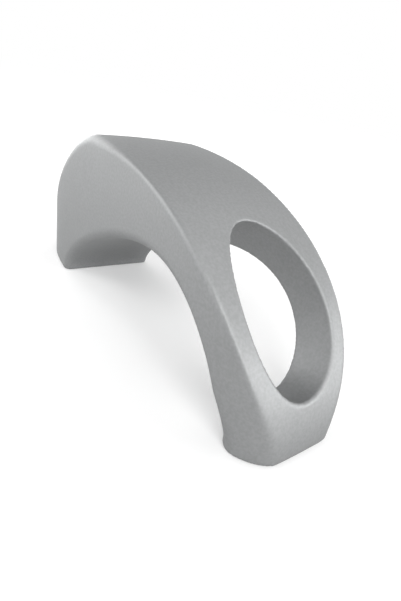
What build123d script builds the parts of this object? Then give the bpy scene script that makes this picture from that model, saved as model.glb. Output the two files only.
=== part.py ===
from build123d import *
from math import cos, radians, sin
import os

# Cast bow knob for a cabinet door: one solid on two flat feet, each tapped for a screw.
# X runs along the knob from the heavy foot to the slender one, Y across it, Z away from the door.
# The origin is midway between the two ends, on the face that meets the door.

# Overall size, mm
length = 75.2
width = 20.8
height = 29.4

# Plan: the widest place, how far the outline would run past the slender foot's face,
# and how full it stays towards each end (0 to 1)
widest_x = 0.2265 * length
plan_overrun = 0.8
plan_left_pulls = (0.92, 0.96)
plan_right_pulls = (0.60, 0.96)

# Outer arch: the crest leans over the heavy foot, and its curve there would land past the end
crest_x = -0.112 * length
left_overrun = 2.6
outer_left_pulls = (0.32, 0.49)
outer_right_pulls = (0.78, 0.30)

# Finger gap under the arch: its top leans the other way, over the slender foot
heavy_foot = 16.4
slender_foot = 7.0
gap_height = 17.787
gap_top_x = 0.1686 * length
gap_left_pulls = (0.37, 0.33)
gap_right_pulls = (0.65, 0.35)

# Long finger hole through the slender leg, rising outwards; its middle lies just below the gap's top
hole_length = 22.785
hole_side_wall = 3.536
hole_inset = 8.0
hole_drop = 1.029
hole_rise = 27.7

# Screw holes: M4 threads, one in the middle of the slender foot and one in the heavy foot
screw_spacing = 64.0
screw_core = 3.3
screw_depth = 4.0

# Edge rounding
side_edge_radius = 1.3
hole_edge_radius = 0.9
foot_edge_radius = 0.5

end_x = length / 2
gap_left_x = -end_x + heavy_foot
gap_right_x = end_x - slender_foot
foot_clear = gap_height / 6
hole_width = width - 2 * hole_side_wall
hole_reach = 1.05 * hole_length
slender_screw_x = end_x - slender_foot / 2
screw_places = [(slender_screw_x - screw_spacing, 0), (slender_screw_x, 0)]
hole_plane = Plane(
    origin=(end_x - hole_inset, 0, gap_height - hole_drop),
    x_dir=(sin(radians(hole_rise)), 0, -cos(radians(hole_rise))),
    z_dir=(cos(radians(hole_rise)), 0, sin(radians(hole_rise))),
)

os.makedirs("parts", exist_ok=True)


def quarter(top, end, pulls):
    """Curve from a top, where it runs level, to an end, where it stands upright.

    Each pull says how far its handle reaches towards the corner that the two directions share.
    """
    level = (top[0] + pulls[0] * (end[0] - top[0]), top[1])
    upright = (end[0], end[1] + pulls[1] * (top[1] - end[1]))
    return Bezier(top, level, upright, end)


def arch(top, left_x, right_x, left_pulls, right_pulls):
    """Closed profile of an arch that stands on the door's face."""
    quarter(top, (left_x, 0), left_pulls)
    quarter(top, (right_x, 0), right_pulls)
    Line((left_x, 0), (right_x, 0))


def away_from_door(edge):
    """True for an edge that runs above the feet."""
    return edge.center().Z > foot_clear


with BuildPart() as knob:
    # Plan outline with upright walls, mirrored about the long axis
    with BuildSketch(Plane.XY) as plan:
        with BuildLine():
            quarter((widest_x, width / 2), (-end_x, 0), plan_left_pulls)
            quarter((widest_x, width / 2), (end_x + plan_overrun, 0), plan_right_pulls)
            mirror(about=Plane.XZ)
        make_face()
    extrude(amount=height + 1)

    # Side profile, the outer arch less the finger gap, carried across the whole width
    with BuildSketch(Plane.XZ) as side:
        with BuildLine():
            arch((crest_x, height), -end_x - left_overrun, end_x, outer_left_pulls, outer_right_pulls)
        make_face()
        with BuildLine():
            arch((gap_top_x, gap_height), gap_left_x, gap_right_x, gap_left_pulls, gap_right_pulls)
        make_face(mode=Mode.SUBTRACT)
    extrude(amount=width, both=True, mode=Mode.INTERSECT)

    # Round the long edges of both arches, which run along the knob above the feet
    long_edges = edges(Select.NEW).filter_by(Axis.Y, reverse=True).filter_by(away_from_door)
    fillet(long_edges, side_edge_radius)

    # Finger hole through the slender leg
    with BuildSketch(hole_plane) as hole:
        Ellipse(hole_length / 2, hole_width / 2)
    extrude(amount=hole_reach, both=True, mode=Mode.SUBTRACT)
    fillet(edges(Select.NEW), hole_edge_radius)

    # Small rounding where the feet meet the door
    fillet(faces().filter_by(Plane.XY).edges(), foot_edge_radius)

    # Core holes of the screw threads
    with BuildSketch(Plane.XY) as screws:
        with Locations(*screw_places):
            Circle(screw_core / 2)
    extrude(amount=screw_depth, mode=Mode.SUBTRACT)

knob.part.label = "knob_body"
export_step(knob.part, "parts/knob_body.step")
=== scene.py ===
from math import cos, radians, sin

import bpy
import numpy as np
from mathutils import Matrix, Vector


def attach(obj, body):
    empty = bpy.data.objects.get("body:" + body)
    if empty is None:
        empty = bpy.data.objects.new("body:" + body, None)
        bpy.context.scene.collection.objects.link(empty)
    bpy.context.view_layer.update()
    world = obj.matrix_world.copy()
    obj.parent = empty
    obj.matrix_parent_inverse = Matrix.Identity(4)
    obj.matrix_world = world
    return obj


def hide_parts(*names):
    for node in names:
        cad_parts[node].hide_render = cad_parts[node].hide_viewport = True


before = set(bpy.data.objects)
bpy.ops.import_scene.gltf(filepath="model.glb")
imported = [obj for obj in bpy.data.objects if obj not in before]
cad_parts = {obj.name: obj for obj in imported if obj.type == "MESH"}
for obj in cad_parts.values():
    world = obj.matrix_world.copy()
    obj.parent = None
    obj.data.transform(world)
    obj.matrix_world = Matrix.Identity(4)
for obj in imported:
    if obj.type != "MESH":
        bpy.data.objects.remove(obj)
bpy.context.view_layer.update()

MM = 0.001
WHITE = (1, 1, 1, 1)

# The photograph's view, found by fitting the knob's outlines; distances in metres
PHOTO_WIDTH_PX = 401
FOCAL_PX = 402.6
SENSOR_MM = 36.0
CLIP_START = 0.001
VIEW_AZIMUTH = radians(-39.9)
VIEW_ELEVATION = radians(26.7)
VIEW_ROLL = radians(10.9)
VIEW_DISTANCE = 0.0763
VIEW_SHIFT_RIGHT = 0.00867
VIEW_SHIFT_UP = 0.00203

# The knob's outlines, mm, as its solid has them. The pulls shape each quarter of an outline, the left
# one first: how far its curve reaches level from the top, and upright from the end.
LENGTH = 75.2
WIDTH = 20.8
HEIGHT = 29.4
END_X = LENGTH / 2
HEAVY_FOOT = 16.4
SLENDER_FOOT = 7.0
LEFT_OVERRUN = 2.6
PLAN_OVERRUN = 0.8
OUTER_TOP = (-8.42, HEIGHT)
OUTER_ENDS = (-END_X - LEFT_OVERRUN, END_X)
OUTER_PULLS = ((0.32, 0.49), (0.78, 0.30))
GAP_TOP = (12.68, 17.79)
GAP_ENDS = (-END_X + HEAVY_FOOT, END_X - SLENDER_FOOT)
GAP_PULLS = ((0.37, 0.33), (0.65, 0.35))
PLAN_WIDEST = (17.03, WIDTH / 2)
PLAN_ENDS = (-END_X, END_X + PLAN_OVERRUN)
PLAN_PULLS = ((0.92, 0.96), (0.60, 0.96))

# Finger hole through the slender leg, rising outwards
HOLE_INSET = 8.0
HOLE_MIDDLE = (END_X - HOLE_INSET, 16.76)
HOLE_RISE = radians(27.7)
HOLE_HALF_LENGTH = 11.39
HOLE_HALF_WIDTH = 6.86
HOLE_REACH = 24.0

SCREWS_X = (-29.9, 34.1)
SCREW_CORE_RADIUS = 1.65
SCREW_DEPTH = 4.0

# Crown of the outer face: how far it falls away from its middle line at the sides
OUTER_CROWN = 0.3

# Edge radii: the ridge is soft over the heavy foot and crisp down the slender leg,
# and the gap's edge grows rounder low on the slender foot
RIDGE_SOFT = 3.0
RIDGE_CRISP = 0.35
RIDGE_FADE_X = (-34.0, 8.0)
GAP_EDGE = 1.4
GAP_EDGE_FOOT = 3.6
GAP_FADE_Z = (1.5, 7.0)
HOLE_EDGE = 0.4
FOOT_EDGE = 0.4

# How finely the outlines and the surface are worked out, mm
OUTLINE_STEPS = 160
CELL = 0.3
MARGIN = 1.0
TINY = 1e-6

# Satin plating: linear colour and roughness of the plain faces and of the edges; the edges' slightly
# lighter colour is a painted highlight
METAL_COLOUR = (0.290, 0.295, 0.297)
METAL_ROUGHNESS = 0.60
# The edges' colour: a painted highlight, a touch lighter than the faces
EDGE_HIGHLIGHT_COLOUR = (0.292, 0.297, 0.299)
RUBBED_ROUGHNESS = 0.62
EDGE_TINT = 0.6
EDGE_REACH = 0.0009
EDGE_SAMPLES = 8
EDGE_TURN = 0.93

# Its speckle, cloudy sheen, blasted grain and faint ripple: scale and detail of each noise, then its effect
SPECKLE = (2600, 3)
SPECKLE_RANGE = (0.35, 0.65)
SPECKLE_DARK = 0.95
SPECKLE_LIGHT = 1.05
CLOUDS = (160, 2)
CLOUDS_RANGE = (0.3, 0.7)
CLOUDS_ROUGHNESS = 0.03
GRAIN = (4200, 3)
GRAIN_STRENGTH = 0.12
GRAIN_DEPTH = 0.00003
RIPPLE = (420, 1)
RIPPLE_STRENGTH = 0.1
RIPPLE_DEPTH = 0.00004

# Soft lamps round the knob: azimuth and elevation in degrees, power in watts
LAMP_DISTANCE = 0.6
LAMP_SIZE = 0.3
LAMPS = [
    ("lamp_right", 0, 10, 1.0),
    ("lamp_right_behind", 45, 10, 1.6),
    ("lamp_behind", 90, 10, 0.55),
    ("lamp_left", 180, 10, 2.55),
    ("lamp_left_front", 225, 10, 1.15),
    ("lamp_front_high", 247.5, 38, 0.55),
    ("lamp_right_high", 337.5, 38, 1.45),
    ("lamp_behind_high", 90, 64, 0.4),
]
WORLD_STRENGTH = 0.5

# Pale floor: its glow for the background's rays grows with the distance from the knob; the weaker glow by
# the knob is painted shade round it, on the floor and in the metal's reflections
FLOOR_WIDTH = 40.0
FLOOR_COLOUR = 0.8
LIFT_NEAR = 0.2
LIFT_FAR = 0.6
LIFT_START = 0.1
LIFT_END = 0.5


def towards(azimuth, elevation):
    """Direction from the knob, by the angle round it and the angle above the floor."""
    return Vector((cos(azimuth) * cos(elevation), sin(azimuth) * cos(elevation), sin(elevation)))


def add_camera():
    """Stand the camera where the photograph was taken, turned by its small roll."""
    forward = -towards(VIEW_AZIMUTH, VIEW_ELEVATION)
    level = Vector((-sin(VIEW_AZIMUTH), cos(VIEW_AZIMUTH), 0))
    upright = level.cross(forward)
    right = cos(VIEW_ROLL) * level + sin(VIEW_ROLL) * upright
    up = -sin(VIEW_ROLL) * level + cos(VIEW_ROLL) * upright
    camera_data = bpy.data.cameras.new("camera")
    camera_data.sensor_fit = "HORIZONTAL"
    camera_data.sensor_width = SENSOR_MM
    camera_data.lens = SENSOR_MM * FOCAL_PX / PHOTO_WIDTH_PX
    camera_data.clip_start = CLIP_START
    camera = bpy.data.objects.new("camera", camera_data)
    place = VIEW_SHIFT_RIGHT * right + VIEW_SHIFT_UP * up - VIEW_DISTANCE * forward
    turned = Matrix((right, up, -forward)).transposed().to_4x4()
    camera.matrix_world = Matrix.Translation(place) @ turned
    bpy.context.collection.objects.link(camera)
    bpy.context.scene.camera = camera


def quarter(top, end, pulls):
    """Points from a top, where the curve runs level, to an end, where it stands upright."""
    t = np.linspace(0, 1, OUTLINE_STEPS)[:, None]
    rest = 1 - t
    top, end = np.array(top), np.array(end)
    level = np.array([top[0] + pulls[0] * (end[0] - top[0]), top[1]])
    upright = np.array([end[0], end[1] + pulls[1] * (top[1] - end[1])])
    return rest ** 3 * top + 3 * rest ** 2 * t * level + 3 * rest * t ** 2 * upright + t ** 3 * end


def arch(top, ends, pulls):
    """Outline of an arch whose legs run on below the door's face."""
    left = quarter(top, (ends[0], 0), pulls[0])[::-1]
    right = quarter(top, (ends[1], 0), pulls[1])[1:]
    return np.concatenate([[(ends[0], -HEIGHT)], left, right, [(ends[1], -HEIGHT)]])


def plan():
    """Outline of the knob seen from above."""
    left = quarter(PLAN_WIDEST, (PLAN_ENDS[0], 0), PLAN_PULLS[0])[::-1]
    right = quarter(PLAN_WIDEST, (PLAN_ENDS[1], 0), PLAN_PULLS[1])[1:]
    near = np.concatenate([left, right])
    far = near * (1, -1)
    return np.concatenate([near, far[-2:0:-1]])


def outline_distance(across, along, outline):
    """Distance of each grid point from an outline, negative inside it."""
    across, along = np.broadcast_arrays(across, along)
    nearest = np.full(across.shape, np.inf)
    inside = np.zeros(across.shape, bool)
    for (ax, ay), (bx, by) in zip(outline, np.roll(outline, -1, 0)):
        run_x, run_y = bx - ax, by - ay
        off_x, off_y = across - ax, along - ay
        share = np.clip((off_x * run_x + off_y * run_y) / (run_x ** 2 + run_y ** 2), 0, 1)
        nearest = np.minimum(nearest, (off_x - share * run_x) ** 2 + (off_y - share * run_y) ** 2)
        if ay != by:
            inside ^= ((ay > along) != (by > along)) & (across < ax + run_x * off_y / run_y)
    return np.where(inside, -1, 1) * np.sqrt(nearest)


def rounded_both(a, b, radius):
    """What lies inside both forms, with the edge between them rounded."""
    over_a, over_b = np.maximum(a + radius, 0), np.maximum(b + radius, 0)
    return np.minimum(np.maximum(a, b), -radius) + np.hypot(over_a, over_b)


def finger_hole(x, y, z):
    """The finger hole: an ellipse carried along its rising axis, open outwards."""
    right, up = x - HOLE_MIDDLE[0], z - HOLE_MIDDLE[1]
    along = right * sin(HOLE_RISE) - up * cos(HOLE_RISE)
    outwards = right * cos(HOLE_RISE) + up * sin(HOLE_RISE)
    size = np.hypot(along / HOLE_HALF_LENGTH, y / HOLE_HALF_WIDTH)
    slope = np.hypot(along / HOLE_HALF_LENGTH ** 2, y / HOLE_HALF_WIDTH ** 2)
    ellipse = (size - 1) * size / np.maximum(slope, TINY)
    return np.maximum(ellipse, -HOLE_REACH - outwards)


def knob_form(x, y, z):
    """Distance from the knob's surface at each grid point, negative in the metal."""
    outer = outline_distance(x, z, arch(OUTER_TOP, OUTER_ENDS, OUTER_PULLS))
    outer = outer + OUTER_CROWN * (2 * y / WIDTH) ** 2
    ridge = np.interp(x, RIDGE_FADE_X, (RIDGE_SOFT, RIDGE_CRISP))
    metal = rounded_both(outer, outline_distance(x, y, plan()), ridge)

    gap = outline_distance(x, z, arch(GAP_TOP, GAP_ENDS, GAP_PULLS))
    slender_edge = np.interp(z, GAP_FADE_Z, (GAP_EDGE_FOOT, GAP_EDGE))
    metal = rounded_both(metal, -gap, np.where(x > 0, slender_edge, GAP_EDGE))

    metal = rounded_both(metal, -finger_hole(x, y, z), HOLE_EDGE)
    metal = rounded_both(metal, -z, FOOT_EDGE)
    for screw_x in SCREWS_X:
        bore = np.maximum(np.hypot(x - screw_x, y) - SCREW_CORE_RADIUS, z - SCREW_DEPTH)
        metal = np.maximum(metal, -bore)
    return metal


def cut_edges(form, axis):
    """Grid edges along one axis that the surface cuts: their starts, the cuts, which start in metal."""
    low = form[tuple(slice(0, -1) if k == axis else slice(None) for k in range(3))]
    high = form[tuple(slice(1, None) if k == axis else slice(None) for k in range(3))]
    starts = np.argwhere((low < 0) != (high < 0))
    before, after = low[tuple(starts.T)], high[tuple(starts.T)]
    step = (before / (before - after))[:, None] * np.eye(3)[axis]
    return starts, starts + step, before < 0


def surface_mesh(name, form, corner):
    """Mesh of a form's surface: a point in each grid cell it passes, a face round each edge it cuts."""
    total = np.zeros((*form.shape, 3))
    count = np.zeros(form.shape)
    unit = np.eye(3, dtype=int)
    rings = []
    for axis in range(3):
        starts, cuts, metal_first = cut_edges(form, axis)
        first, second = unit[(axis + 1) % 3], unit[(axis + 2) % 3]
        ring = [tuple((starts - side).T) for side in (first + second, second, 0, first)]
        for cell in ring:
            np.add.at(total, cell, cuts)
            np.add.at(count, cell, 1)
        rings.append((ring, metal_first))

    used = count > 0
    number = np.cumsum(used).reshape(used.shape) - 1
    points = total[used] / count[used][:, None] * CELL + corner
    faces = []
    for ring, metal_first in rings:
        corners = np.stack([number[cell] for cell in ring], 1)
        faces.append(np.where(metal_first[:, None], corners, corners[:, ::-1]))
    mesh = bpy.data.meshes.new(name)
    mesh.from_pydata((points * MM).tolist(), [], np.concatenate(faces).tolist())
    mesh.shade_smooth()
    return mesh


def add_knob(material):
    """The cast knob's surface, which stands for its plain solid."""
    corner = np.array([-END_X, -WIDTH / 2, 0]) - MARGIN
    far_corner = np.array([END_X, WIDTH / 2, HEIGHT]) + MARGIN
    x, y, z = np.ogrid[tuple(slice(low, high, CELL) for low, high in zip(corner, far_corner))]
    mesh = surface_mesh("knob_casting", knob_form(x, y, z), corner)
    mesh.materials.append(material)
    knob = bpy.data.objects.new("knob_casting", mesh)
    bpy.context.collection.objects.link(knob)
    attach(knob, "root")
    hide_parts("knob_body")


def add_noise(nodes, links, place, scale_detail):
    """Even noise in the knob's own space, finer as the scale grows."""
    noise = nodes.new("ShaderNodeTexNoise")
    noise.inputs["Scale"].default_value, noise.inputs["Detail"].default_value = scale_detail
    links.new(place.outputs["Object"], noise.inputs["Vector"])
    return noise.outputs["Fac"]


def add_range(nodes, links, value, start, end, low, high):
    """Carry a value from one range to another, held at both ends."""
    span = nodes.new("ShaderNodeMapRange")
    span.inputs["From Min"].default_value = start
    span.inputs["From Max"].default_value = end
    span.inputs["To Min"].default_value = low
    span.inputs["To Max"].default_value = high
    links.new(value, span.inputs["Value"])
    return span.outputs["Result"]


def add_bump(nodes, links, height, strength, depth):
    """Relief of a given depth in metres."""
    bump = nodes.new("ShaderNodeBump")
    bump.inputs["Strength"].default_value = strength
    bump.inputs["Distance"].default_value = depth
    links.new(height, bump.inputs["Height"])
    return bump


def edge_mask(nodes, links):
    """One on the knob's tight edges, where a rounded normal leaves the face's own, and none beside them."""
    rounded = nodes.new("ShaderNodeBevel")
    rounded.samples = EDGE_SAMPLES
    rounded.inputs["Radius"].default_value = EDGE_REACH
    plain = nodes.new("ShaderNodeNewGeometry")
    turn = nodes.new("ShaderNodeVectorMath")
    turn.operation = "DOT_PRODUCT"
    links.new(rounded.outputs["Normal"], turn.inputs[0])
    links.new(plain.outputs["Normal"], turn.inputs[1])
    return add_range(nodes, links, turn.outputs["Value"], 1.0, EDGE_TURN, 0.0, 1.0)


def satin_metal():
    """Satin plating on cast metal: fine speckle, cloudy sheen, blasted grain, and edges a touch duller with
    a faint painted highlight.
    """
    material = bpy.data.materials.new("satin_metal")
    material.use_nodes = True
    nodes, links = material.node_tree.nodes, material.node_tree.links
    shader = nodes["Principled BSDF"]
    shader.inputs["Metallic"].default_value = 1.0
    shader.inputs["Specular Tint"].default_value = (EDGE_TINT, EDGE_TINT, EDGE_TINT, 1)
    place = nodes.new("ShaderNodeTexCoord")
    edge = edge_mask(nodes, links)

    # Colour: fine speckle on the faces, and a painted highlight a touch brighter on the edges
    speckle = add_noise(nodes, links, place, SPECKLE)
    shade = nodes.new("ShaderNodeMix")
    shade.data_type = "RGBA"
    shade.inputs["A"].default_value = (*[SPECKLE_DARK * part for part in METAL_COLOUR], 1)
    shade.inputs["B"].default_value = (*[SPECKLE_LIGHT * part for part in METAL_COLOUR], 1)
    links.new(add_range(nodes, links, speckle, *SPECKLE_RANGE, 0.0, 1.0), shade.inputs["Factor"])
    edge_highlight = nodes.new("ShaderNodeMix")
    edge_highlight.data_type = "RGBA"
    edge_highlight.inputs["B"].default_value = (*EDGE_HIGHLIGHT_COLOUR, 1)
    links.new(shade.outputs["Result"], edge_highlight.inputs["A"])
    links.new(edge, edge_highlight.inputs["Factor"])
    links.new(edge_highlight.outputs["Result"], shader.inputs["Base Color"])

    # Roughness: slow clouds from handling, a touch duller on the edges
    clouds = add_noise(nodes, links, place, CLOUDS)
    satin = add_range(nodes, links, clouds, *CLOUDS_RANGE,
                      METAL_ROUGHNESS - CLOUDS_ROUGHNESS, METAL_ROUGHNESS + CLOUDS_ROUGHNESS)
    sheen = nodes.new("ShaderNodeMix")
    sheen.inputs["B"].default_value = RUBBED_ROUGHNESS
    links.new(satin, sheen.inputs["A"])
    links.new(edge, sheen.inputs["Factor"])
    links.new(sheen.outputs["Result"], shader.inputs["Roughness"])

    # Relief: the blasted grain over the casting's faint ripple
    grain = add_bump(nodes, links, add_noise(nodes, links, place, GRAIN), GRAIN_STRENGTH, GRAIN_DEPTH)
    ripple = add_bump(nodes, links, add_noise(nodes, links, place, RIPPLE), RIPPLE_STRENGTH, RIPPLE_DEPTH)
    links.new(ripple.outputs["Normal"], grain.inputs["Normal"])
    links.new(grain.outputs["Normal"], shader.inputs["Normal"])
    return material


def add_lamp(name, azimuth, elevation, power):
    """One soft square lamp, at its distance from the knob and turned towards it."""
    direction = towards(azimuth, elevation)
    light = bpy.data.lights.new(name, "AREA")
    light.size = LAMP_SIZE
    light.energy = power
    lamp = bpy.data.objects.new(name, light)
    lamp.location = LAMP_DISTANCE * direction
    lamp.rotation_euler = direction.to_track_quat("Z", "Y").to_euler()
    bpy.context.collection.objects.link(lamp)


def background_ray(nodes, links):
    """One for the rays that show the background: from the camera, glossy or passed through."""
    ray = nodes.new("ShaderNodeLightPath")
    seen = ray.outputs["Is Camera Ray"]
    for kind in ("Is Glossy Ray", "Is Transmission Ray"):
        either = nodes.new("ShaderNodeMath")
        either.operation = "MAXIMUM"
        links.new(seen, either.inputs[0])
        links.new(ray.outputs[kind], either.inputs[1])
        seen = either.outputs["Value"]
    return seen


def white_material():
    """Pale floor, which glows for the background's rays: a little by the knob, as painted shade round it,
    and more far off.
    """
    material = bpy.data.materials.new("floor_white")
    material.use_nodes = True
    nodes, links = material.node_tree.nodes, material.node_tree.links
    shader = nodes["Principled BSDF"]
    shader.inputs["Base Color"].default_value = (FLOOR_COLOUR, FLOOR_COLOUR, FLOOR_COLOUR, 1)
    shader.inputs["Roughness"].default_value = 1.0
    shader.inputs["Specular IOR Level"].default_value = 0.0
    shader.inputs["Emission Color"].default_value = WHITE
    place = nodes.new("ShaderNodeTexCoord")
    distance = nodes.new("ShaderNodeVectorMath")
    distance.operation = "LENGTH"
    links.new(place.outputs["Object"], distance.inputs[0])
    lift = add_range(nodes, links, distance.outputs["Value"],
                     LIFT_START, LIFT_END, LIFT_NEAR, LIFT_FAR)
    strength = nodes.new("ShaderNodeMath")
    strength.operation = "MULTIPLY"
    links.new(lift, strength.inputs[0])
    links.new(background_ray(nodes, links), strength.inputs[1])
    links.new(strength.outputs["Value"], shader.inputs["Emission Strength"])
    return material


def add_floor():
    """Wide level floor under the knob's feet."""
    bpy.ops.mesh.primitive_plane_add(size=FLOOR_WIDTH)
    floor = bpy.context.object
    floor.name = "floor"
    floor.data.materials.append(white_material())


def add_world():
    """Even light from all round, which the camera and the metal see as white."""
    world = bpy.data.worlds.new("world")
    world.use_nodes = True
    nodes, links = world.node_tree.nodes, world.node_tree.links
    background = nodes["Background"]
    background.inputs["Color"].default_value = WHITE
    strength = add_range(nodes, links, background_ray(nodes, links), 0.0, 1.0, WORLD_STRENGTH, 1.0)
    links.new(strength, background.inputs["Strength"])
    bpy.context.scene.world = world


add_camera()
add_knob(satin_metal())
for name, azimuth, elevation, power in LAMPS:
    add_lamp(name, radians(azimuth), radians(elevation), power)
add_floor()
add_world()
bpy.context.scene.view_settings.view_transform = "Standard"
